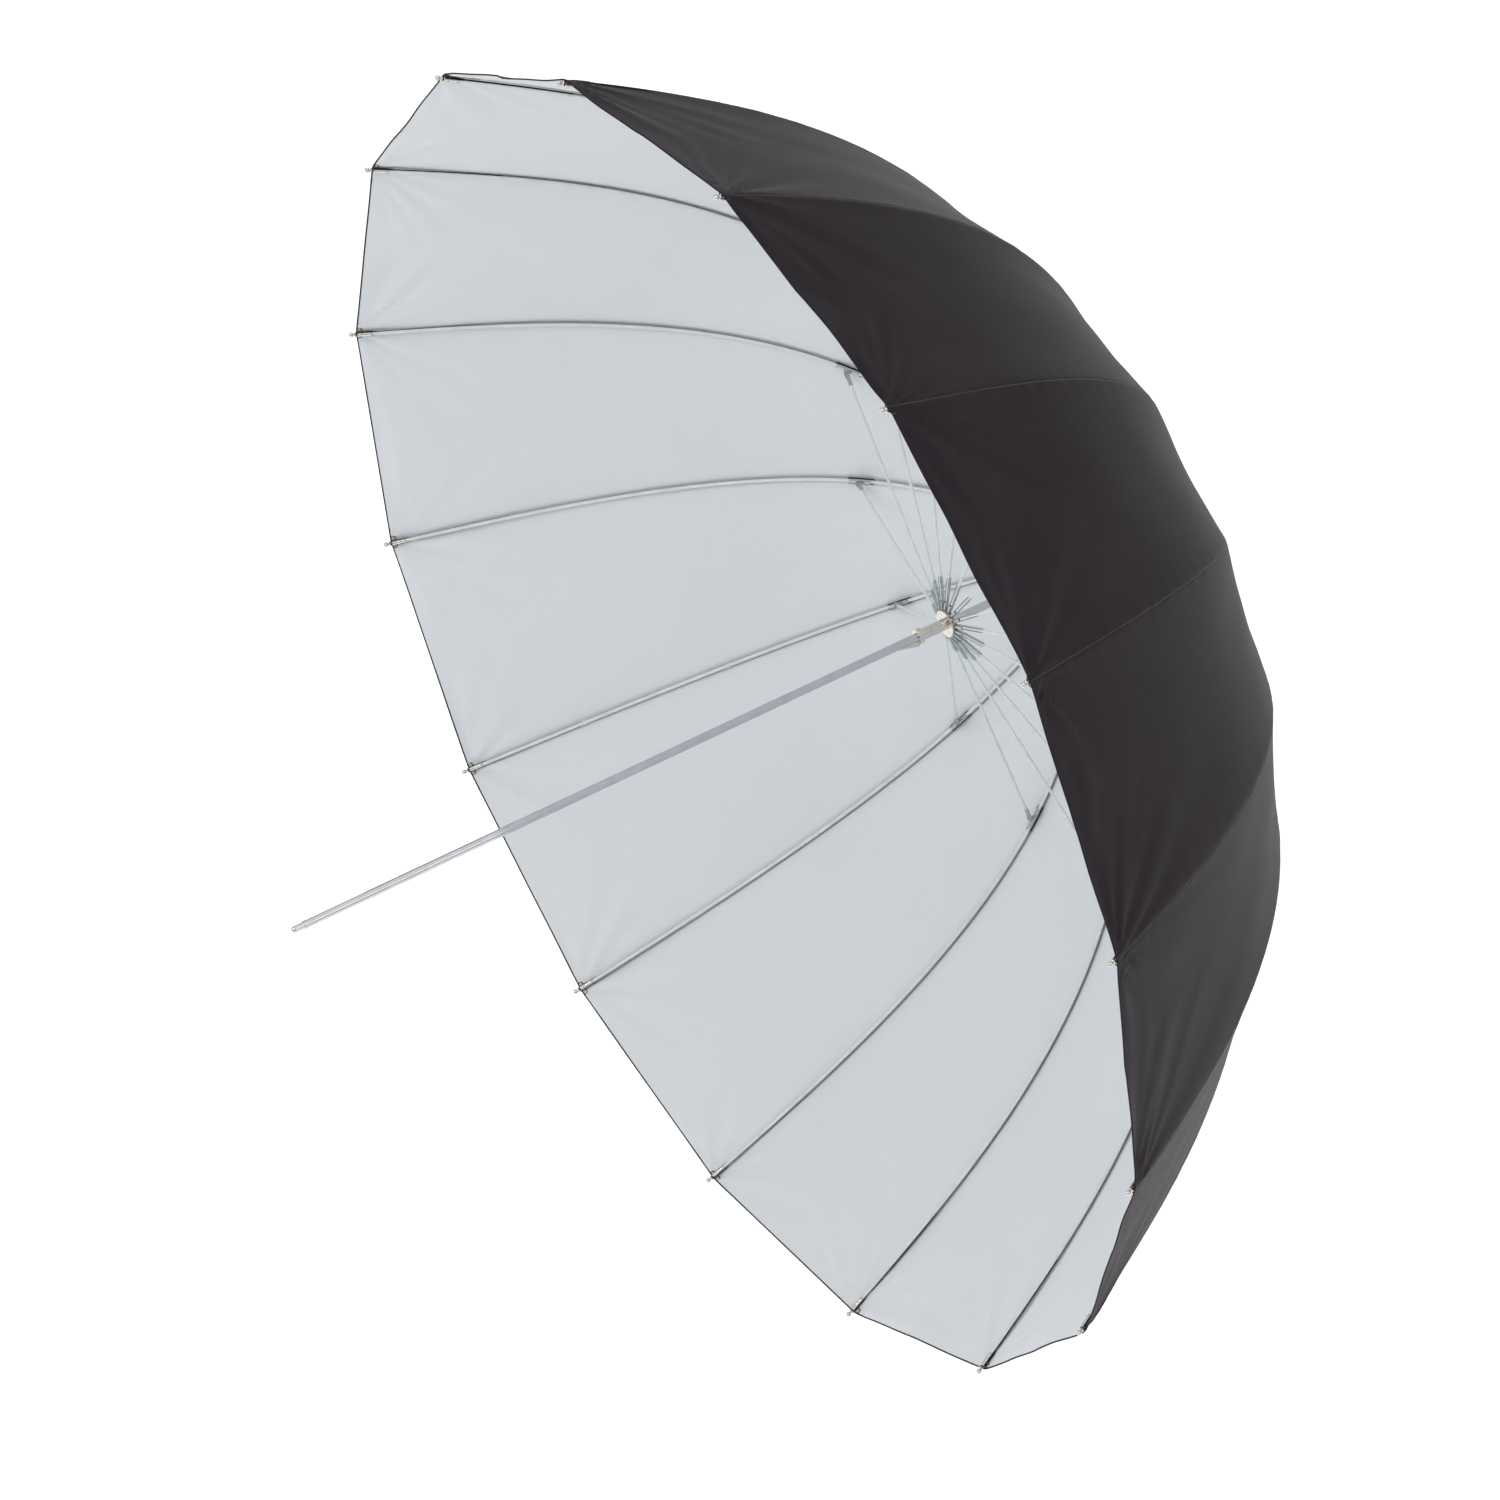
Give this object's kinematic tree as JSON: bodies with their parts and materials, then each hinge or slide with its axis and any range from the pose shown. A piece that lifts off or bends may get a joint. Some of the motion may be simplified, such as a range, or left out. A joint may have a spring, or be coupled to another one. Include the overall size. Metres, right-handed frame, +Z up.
{
  "type": "umbrella reflector",
  "caption": "Studio umbrella reflector, black outside and white inside, on a slim shaft, with flexible ribs, stretchers and a sliding runner that folds it.",
  "frame": {"origin": "on the shaft axis, in the plane of the rib tips", "axes": "+Y along the shaft towards the crown of the canopy, the open side facing -Y, +Z up with the shaft level"},
  "size_m": [1.3052, 0.9624, 1.3052],
  "materials": {
    "shaft_tube": "bright chromed steel tube with faint draw marks",
    "nickel": "warm nickel plate",
    "galvanised": "dull zinc-plated sheet steel and wire",
    "fibreglass": "pale translucent pultruded fibreglass rod",
    "cloth": "coated polyester, satin white inside and black outside",
    "cloth_black": "black coated polyester taffeta",
    "thread": "black polyester sewing thread and binding tape"
  },
  "bodies": {
    "shaft_and_crown": {"shaft": "shaft_tube", "shaft_end_plug": "nickel", "crown_notch": "nickel", "crown_wire": "galvanised", "crown_cap": "nickel", "crown_washer": "nickel", "canopy": "cloth"},
    "runner": {"runner": "nickel", "runner_wire": "galvanised"},
    "catch_spring": {"catch_spring": "nickel"},
    "rib_inner_01": {"rib_inner_01": "fibreglass"},
    "rib_outer_01": {"rib_outer_01": "fibreglass"},
    "stretcher_01": {"stretcher_01": "fibreglass"},
    "rib_inner_02": {"rib_inner_02": "fibreglass"},
    "rib_outer_02": {"rib_outer_02": "fibreglass"},
    "stretcher_02": {"stretcher_02": "fibreglass"},
    "rib_inner_03": {"rib_inner_03": "fibreglass"},
    "rib_outer_03": {"rib_outer_03": "fibreglass"},
    "stretcher_03": {"stretcher_03": "fibreglass"},
    "rib_inner_04": {"rib_inner_04": "fibreglass"},
    "rib_outer_04": {"rib_outer_04": "fibreglass"},
    "stretcher_04": {"stretcher_04": "fibreglass"},
    "rib_inner_05": {"rib_inner_05": "fibreglass"},
    "rib_outer_05": {"rib_outer_05": "fibreglass"},
    "stretcher_05": {"stretcher_05": "fibreglass"},
    "rib_inner_06": {"rib_inner_06": "fibreglass"},
    "rib_outer_06": {"rib_outer_06": "fibreglass"},
    "stretcher_06": {"stretcher_06": "fibreglass"},
    "rib_inner_07": {"rib_inner_07": "fibreglass"},
    "rib_outer_07": {"rib_outer_07": "fibreglass"},
    "stretcher_07": {"stretcher_07": "fibreglass"},
    "rib_inner_08": {"rib_inner_08": "fibreglass"},
    "rib_outer_08": {"rib_outer_08": "fibreglass"},
    "stretcher_08": {"stretcher_08": "fibreglass"},
    "rib_inner_09": {"rib_inner_09": "fibreglass"},
    "rib_outer_09": {"rib_outer_09": "fibreglass"},
    "stretcher_09": {"stretcher_09": "fibreglass"},
    "rib_inner_10": {"rib_inner_10": "fibreglass"},
    "rib_outer_10": {"rib_outer_10": "fibreglass"},
    "stretcher_10": {"stretcher_10": "fibreglass"},
    "rib_inner_11": {"rib_inner_11": "fibreglass"},
    "rib_outer_11": {"rib_outer_11": "fibreglass"},
    "stretcher_11": {"stretcher_11": "fibreglass"},
    "rib_inner_12": {"rib_inner_12": "fibreglass"},
    "rib_outer_12": {"rib_outer_12": "fibreglass"},
    "stretcher_12": {"stretcher_12": "fibreglass"},
    "rib_inner_13": {"rib_inner_13": "fibreglass"},
    "rib_outer_13": {"rib_outer_13": "fibreglass"},
    "stretcher_13": {"stretcher_13": "fibreglass"},
    "rib_inner_14": {"rib_inner_14": "fibreglass"},
    "rib_outer_14": {"rib_outer_14": "fibreglass"},
    "stretcher_14": {"stretcher_14": "fibreglass"},
    "rib_inner_15": {"rib_inner_15": "fibreglass"},
    "rib_outer_15": {"rib_outer_15": "fibreglass"},
    "stretcher_15": {"stretcher_15": "fibreglass"},
    "rib_inner_16": {"rib_inner_16": "fibreglass"},
    "rib_outer_16": {"rib_outer_16": "fibreglass"},
    "stretcher_16": {"stretcher_16": "fibreglass"}
  },
  "joints": [
    {"name": "canopy_fold", "type": "hinge", "parent": "shaft_and_crown", "child": "rib_inner_01", "pos_m": [0.012, 0.49392, 0], "axis": [0, 0, -1], "range_deg": [0, 66.2], "deforming": ["canopy", "catch_spring"]},
    {"name": "rib_root_02", "type": "hinge", "parent": "shaft_and_crown", "child": "rib_inner_02", "pos_m": [0.01109, 0.49392, 0.00459], "axis": [0.3827, 0, -0.9239], "range_deg": [-0.5, 66.7]},
    {"name": "rib_root_03", "type": "hinge", "parent": "shaft_and_crown", "child": "rib_inner_03", "pos_m": [0.00849, 0.49392, 0.00849], "axis": [0.7071, 0, -0.7071], "range_deg": [-0.5, 66.7]},
    {"name": "rib_root_04", "type": "hinge", "parent": "shaft_and_crown", "child": "rib_inner_04", "pos_m": [0.00459, 0.49392, 0.01109], "axis": [0.9239, 0, -0.3827], "range_deg": [-0.5, 66.7]},
    {"name": "rib_root_05", "type": "hinge", "parent": "shaft_and_crown", "child": "rib_inner_05", "pos_m": [0, 0.49392, 0.012], "axis": [1, 0, 0], "range_deg": [-0.5, 66.7]},
    {"name": "rib_root_06", "type": "hinge", "parent": "shaft_and_crown", "child": "rib_inner_06", "pos_m": [-0.00459, 0.49392, 0.01109], "axis": [0.9239, 0, 0.3827], "range_deg": [-0.5, 66.7]},
    {"name": "rib_root_07", "type": "hinge", "parent": "shaft_and_crown", "child": "rib_inner_07", "pos_m": [-0.00849, 0.49392, 0.00849], "axis": [0.7071, 0, 0.7071], "range_deg": [-0.5, 66.7]},
    {"name": "rib_root_08", "type": "hinge", "parent": "shaft_and_crown", "child": "rib_inner_08", "pos_m": [-0.01109, 0.49392, 0.00459], "axis": [0.3827, 0, 0.9239], "range_deg": [-0.5, 66.7]},
    {"name": "rib_root_09", "type": "hinge", "parent": "shaft_and_crown", "child": "rib_inner_09", "pos_m": [-0.012, 0.49392, 0], "axis": [0, 0, 1], "range_deg": [-0.5, 66.7]},
    {"name": "rib_root_10", "type": "hinge", "parent": "shaft_and_crown", "child": "rib_inner_10", "pos_m": [-0.01109, 0.49392, -0.00459], "axis": [-0.3827, 0, 0.9239], "range_deg": [-0.5, 66.7]},
    {"name": "rib_root_11", "type": "hinge", "parent": "shaft_and_crown", "child": "rib_inner_11", "pos_m": [-0.00849, 0.49392, -0.00849], "axis": [-0.7071, 0, 0.7071], "range_deg": [-0.5, 66.7]},
    {"name": "rib_root_12", "type": "hinge", "parent": "shaft_and_crown", "child": "rib_inner_12", "pos_m": [-0.00459, 0.49392, -0.01109], "axis": [-0.9239, 0, 0.3827], "range_deg": [-0.5, 66.7]},
    {"name": "rib_root_13", "type": "hinge", "parent": "shaft_and_crown", "child": "rib_inner_13", "pos_m": [0, 0.49392, -0.012], "axis": [-1, 0, 0], "range_deg": [-0.5, 66.7]},
    {"name": "rib_root_14", "type": "hinge", "parent": "shaft_and_crown", "child": "rib_inner_14", "pos_m": [0.00459, 0.49392, -0.01109], "axis": [-0.9239, 0, -0.3827], "range_deg": [-0.5, 66.7]},
    {"name": "rib_root_15", "type": "hinge", "parent": "shaft_and_crown", "child": "rib_inner_15", "pos_m": [0.00849, 0.49392, -0.00849], "axis": [-0.7071, 0, -0.7071], "range_deg": [-0.5, 66.7]},
    {"name": "rib_root_16", "type": "hinge", "parent": "shaft_and_crown", "child": "rib_inner_16", "pos_m": [0.01109, 0.49392, -0.00459], "axis": [-0.3827, 0, -0.9239], "range_deg": [-0.5, 66.7]},
    {"name": "rib_flex_01", "type": "hinge", "parent": "rib_inner_01", "child": "rib_outer_01", "pos_m": [0.35469, 0.37795, 0], "axis": [0, 0, -1], "range_deg": [-29.7, 0.5]},
    {"name": "stretcher_pivot_01", "type": "hinge", "parent": "rib_inner_01", "child": "stretcher_01", "pos_m": [0.33829, 0.37981, 0], "axis": [0, 0, -1], "range_deg": [-132.9, 0.5]},
    {"name": "rib_flex_02", "type": "hinge", "parent": "rib_inner_02", "child": "rib_outer_02", "pos_m": [0.3277, 0.37795, 0.13574], "axis": [0.3827, 0, -0.9239], "range_deg": [-29.7, 0.5]},
    {"name": "stretcher_pivot_02", "type": "hinge", "parent": "rib_inner_02", "child": "stretcher_02", "pos_m": [0.31254, 0.37981, 0.12946], "axis": [0.3827, 0, -0.9239], "range_deg": [-132.9, 0.5]},
    {"name": "rib_flex_03", "type": "hinge", "parent": "rib_inner_03", "child": "rib_outer_03", "pos_m": [0.25081, 0.37795, 0.25081], "axis": [0.7071, 0, -0.7071], "range_deg": [-29.7, 0.5]},
    {"name": "stretcher_pivot_03", "type": "hinge", "parent": "rib_inner_03", "child": "stretcher_03", "pos_m": [0.23921, 0.37981, 0.23921], "axis": [0.7071, 0, -0.7071], "range_deg": [-132.9, 0.5]},
    {"name": "rib_flex_04", "type": "hinge", "parent": "rib_inner_04", "child": "rib_outer_04", "pos_m": [0.13574, 0.37795, 0.3277], "axis": [0.9239, 0, -0.3827], "range_deg": [-29.7, 0.5]},
    {"name": "stretcher_pivot_04", "type": "hinge", "parent": "rib_inner_04", "child": "stretcher_04", "pos_m": [0.12946, 0.37981, 0.31254], "axis": [0.9239, 0, -0.3827], "range_deg": [-132.9, 0.5]},
    {"name": "rib_flex_05", "type": "hinge", "parent": "rib_inner_05", "child": "rib_outer_05", "pos_m": [0, 0.37795, 0.35469], "axis": [1, 0, 0], "range_deg": [-29.7, 0.5]},
    {"name": "stretcher_pivot_05", "type": "hinge", "parent": "rib_inner_05", "child": "stretcher_05", "pos_m": [0, 0.37981, 0.33829], "axis": [1, 0, 0], "range_deg": [-132.9, 0.5]},
    {"name": "rib_flex_06", "type": "hinge", "parent": "rib_inner_06", "child": "rib_outer_06", "pos_m": [-0.13574, 0.37795, 0.3277], "axis": [0.9239, 0, 0.3827], "range_deg": [-29.7, 0.5]},
    {"name": "stretcher_pivot_06", "type": "hinge", "parent": "rib_inner_06", "child": "stretcher_06", "pos_m": [-0.12946, 0.37981, 0.31254], "axis": [0.9239, 0, 0.3827], "range_deg": [-132.9, 0.5]},
    {"name": "rib_flex_07", "type": "hinge", "parent": "rib_inner_07", "child": "rib_outer_07", "pos_m": [-0.25081, 0.37795, 0.25081], "axis": [0.7071, 0, 0.7071], "range_deg": [-29.7, 0.5]},
    {"name": "stretcher_pivot_07", "type": "hinge", "parent": "rib_inner_07", "child": "stretcher_07", "pos_m": [-0.23921, 0.37981, 0.23921], "axis": [0.7071, 0, 0.7071], "range_deg": [-132.9, 0.5]},
    {"name": "rib_flex_08", "type": "hinge", "parent": "rib_inner_08", "child": "rib_outer_08", "pos_m": [-0.3277, 0.37795, 0.13574], "axis": [0.3827, 0, 0.9239], "range_deg": [-29.7, 0.5]},
    {"name": "stretcher_pivot_08", "type": "hinge", "parent": "rib_inner_08", "child": "stretcher_08", "pos_m": [-0.31254, 0.37981, 0.12946], "axis": [0.3827, 0, 0.9239], "range_deg": [-132.9, 0.5]},
    {"name": "rib_flex_09", "type": "hinge", "parent": "rib_inner_09", "child": "rib_outer_09", "pos_m": [-0.35469, 0.37795, 0], "axis": [0, 0, 1], "range_deg": [-29.7, 0.5]},
    {"name": "stretcher_pivot_09", "type": "hinge", "parent": "rib_inner_09", "child": "stretcher_09", "pos_m": [-0.33829, 0.37981, 0], "axis": [0, 0, 1], "range_deg": [-132.9, 0.5]},
    {"name": "rib_flex_10", "type": "hinge", "parent": "rib_inner_10", "child": "rib_outer_10", "pos_m": [-0.3277, 0.37795, -0.13574], "axis": [-0.3827, 0, 0.9239], "range_deg": [-29.7, 0.5]},
    {"name": "stretcher_pivot_10", "type": "hinge", "parent": "rib_inner_10", "child": "stretcher_10", "pos_m": [-0.31254, 0.37981, -0.12946], "axis": [-0.3827, 0, 0.9239], "range_deg": [-132.9, 0.5]},
    {"name": "rib_flex_11", "type": "hinge", "parent": "rib_inner_11", "child": "rib_outer_11", "pos_m": [-0.25081, 0.37795, -0.25081], "axis": [-0.7071, 0, 0.7071], "range_deg": [-29.7, 0.5]},
    {"name": "stretcher_pivot_11", "type": "hinge", "parent": "rib_inner_11", "child": "stretcher_11", "pos_m": [-0.23921, 0.37981, -0.23921], "axis": [-0.7071, 0, 0.7071], "range_deg": [-132.9, 0.5]},
    {"name": "rib_flex_12", "type": "hinge", "parent": "rib_inner_12", "child": "rib_outer_12", "pos_m": [-0.13574, 0.37795, -0.3277], "axis": [-0.9239, 0, 0.3827], "range_deg": [-29.7, 0.5]},
    {"name": "stretcher_pivot_12", "type": "hinge", "parent": "rib_inner_12", "child": "stretcher_12", "pos_m": [-0.12946, 0.37981, -0.31254], "axis": [-0.9239, 0, 0.3827], "range_deg": [-132.9, 0.5]},
    {"name": "rib_flex_13", "type": "hinge", "parent": "rib_inner_13", "child": "rib_outer_13", "pos_m": [0, 0.37795, -0.35469], "axis": [-1, 0, 0], "range_deg": [-29.7, 0.5]},
    {"name": "stretcher_pivot_13", "type": "hinge", "parent": "rib_inner_13", "child": "stretcher_13", "pos_m": [0, 0.37981, -0.33829], "axis": [-1, 0, 0], "range_deg": [-132.9, 0.5]},
    {"name": "rib_flex_14", "type": "hinge", "parent": "rib_inner_14", "child": "rib_outer_14", "pos_m": [0.13574, 0.37795, -0.3277], "axis": [-0.9239, 0, -0.3827], "range_deg": [-29.7, 0.5]},
    {"name": "stretcher_pivot_14", "type": "hinge", "parent": "rib_inner_14", "child": "stretcher_14", "pos_m": [0.12946, 0.37981, -0.31254], "axis": [-0.9239, 0, -0.3827], "range_deg": [-132.9, 0.5]},
    {"name": "rib_flex_15", "type": "hinge", "parent": "rib_inner_15", "child": "rib_outer_15", "pos_m": [0.25081, 0.37795, -0.25081], "axis": [-0.7071, 0, -0.7071], "range_deg": [-29.7, 0.5]},
    {"name": "stretcher_pivot_15", "type": "hinge", "parent": "rib_inner_15", "child": "stretcher_15", "pos_m": [0.23921, 0.37981, -0.23921], "axis": [-0.7071, 0, -0.7071], "range_deg": [-132.9, 0.5]},
    {"name": "rib_flex_16", "type": "hinge", "parent": "rib_inner_16", "child": "rib_outer_16", "pos_m": [0.3277, 0.37795, -0.13574], "axis": [-0.3827, 0, -0.9239], "range_deg": [-29.7, 0.5]},
    {"name": "stretcher_pivot_16", "type": "hinge", "parent": "rib_inner_16", "child": "stretcher_16", "pos_m": [0.31254, 0.37981, -0.12946], "axis": [-0.3827, 0, -0.9239], "range_deg": [-132.9, 0.5]},
    {"name": "runner_pivot", "type": "hinge", "parent": "stretcher_01", "child": "runner", "pos_m": [0.012, 0.2657, 0], "axis": [0, 0, -1], "range_deg": [-0.5, 66.7]},
    {"name": "catch_press", "type": "hinge", "parent": "shaft_and_crown", "child": "catch_spring", "pos_m": [0.00106, 0.1493, -0.00106], "axis": [0.7071, 0, 0.7071], "range_deg": [0, 3.6], "stiffness_Nm_per_rad": 0.3}
  ],
  "couplings": [
    {"joint": "rib_root_02", "follows": "canopy_fold", "ratio": 1},
    {"joint": "rib_root_03", "follows": "canopy_fold", "ratio": 1},
    {"joint": "rib_root_04", "follows": "canopy_fold", "ratio": 1},
    {"joint": "rib_root_05", "follows": "canopy_fold", "ratio": 1},
    {"joint": "rib_root_06", "follows": "canopy_fold", "ratio": 1},
    {"joint": "rib_root_07", "follows": "canopy_fold", "ratio": 1},
    {"joint": "rib_root_08", "follows": "canopy_fold", "ratio": 1},
    {"joint": "rib_root_09", "follows": "canopy_fold", "ratio": 1},
    {"joint": "rib_root_10", "follows": "canopy_fold", "ratio": 1},
    {"joint": "rib_root_11", "follows": "canopy_fold", "ratio": 1},
    {"joint": "rib_root_12", "follows": "canopy_fold", "ratio": 1},
    {"joint": "rib_root_13", "follows": "canopy_fold", "ratio": 1},
    {"joint": "rib_root_14", "follows": "canopy_fold", "ratio": 1},
    {"joint": "rib_root_15", "follows": "canopy_fold", "ratio": 1},
    {"joint": "rib_root_16", "follows": "canopy_fold", "ratio": 1},
    {"joint": "rib_flex_01", "follows": "canopy_fold", "ratio": -0.4411},
    {"joint": "stretcher_pivot_01", "follows": "canopy_fold", "ratio": -2},
    {"joint": "rib_flex_02", "follows": "canopy_fold", "ratio": -0.4411},
    {"joint": "stretcher_pivot_02", "follows": "canopy_fold", "ratio": -2},
    {"joint": "rib_flex_03", "follows": "canopy_fold", "ratio": -0.4411},
    {"joint": "stretcher_pivot_03", "follows": "canopy_fold", "ratio": -2},
    {"joint": "rib_flex_04", "follows": "canopy_fold", "ratio": -0.4411},
    {"joint": "stretcher_pivot_04", "follows": "canopy_fold", "ratio": -2},
    {"joint": "rib_flex_05", "follows": "canopy_fold", "ratio": -0.4411},
    {"joint": "stretcher_pivot_05", "follows": "canopy_fold", "ratio": -2},
    {"joint": "rib_flex_06", "follows": "canopy_fold", "ratio": -0.4411},
    {"joint": "stretcher_pivot_06", "follows": "canopy_fold", "ratio": -2},
    {"joint": "rib_flex_07", "follows": "canopy_fold", "ratio": -0.4411},
    {"joint": "stretcher_pivot_07", "follows": "canopy_fold", "ratio": -2},
    {"joint": "rib_flex_08", "follows": "canopy_fold", "ratio": -0.4411},
    {"joint": "stretcher_pivot_08", "follows": "canopy_fold", "ratio": -2},
    {"joint": "rib_flex_09", "follows": "canopy_fold", "ratio": -0.4411},
    {"joint": "stretcher_pivot_09", "follows": "canopy_fold", "ratio": -2},
    {"joint": "rib_flex_10", "follows": "canopy_fold", "ratio": -0.4411},
    {"joint": "stretcher_pivot_10", "follows": "canopy_fold", "ratio": -2},
    {"joint": "rib_flex_11", "follows": "canopy_fold", "ratio": -0.4411},
    {"joint": "stretcher_pivot_11", "follows": "canopy_fold", "ratio": -2},
    {"joint": "rib_flex_12", "follows": "canopy_fold", "ratio": -0.4411},
    {"joint": "stretcher_pivot_12", "follows": "canopy_fold", "ratio": -2},
    {"joint": "rib_flex_13", "follows": "canopy_fold", "ratio": -0.4411},
    {"joint": "stretcher_pivot_13", "follows": "canopy_fold", "ratio": -2},
    {"joint": "rib_flex_14", "follows": "canopy_fold", "ratio": -0.4411},
    {"joint": "stretcher_pivot_14", "follows": "canopy_fold", "ratio": -2},
    {"joint": "rib_flex_15", "follows": "canopy_fold", "ratio": -0.4411},
    {"joint": "stretcher_pivot_15", "follows": "canopy_fold", "ratio": -2},
    {"joint": "rib_flex_16", "follows": "canopy_fold", "ratio": -0.4411},
    {"joint": "stretcher_pivot_16", "follows": "canopy_fold", "ratio": -2},
    {"joint": "runner_pivot", "follows": "canopy_fold", "ratio": 1}
  ]
}
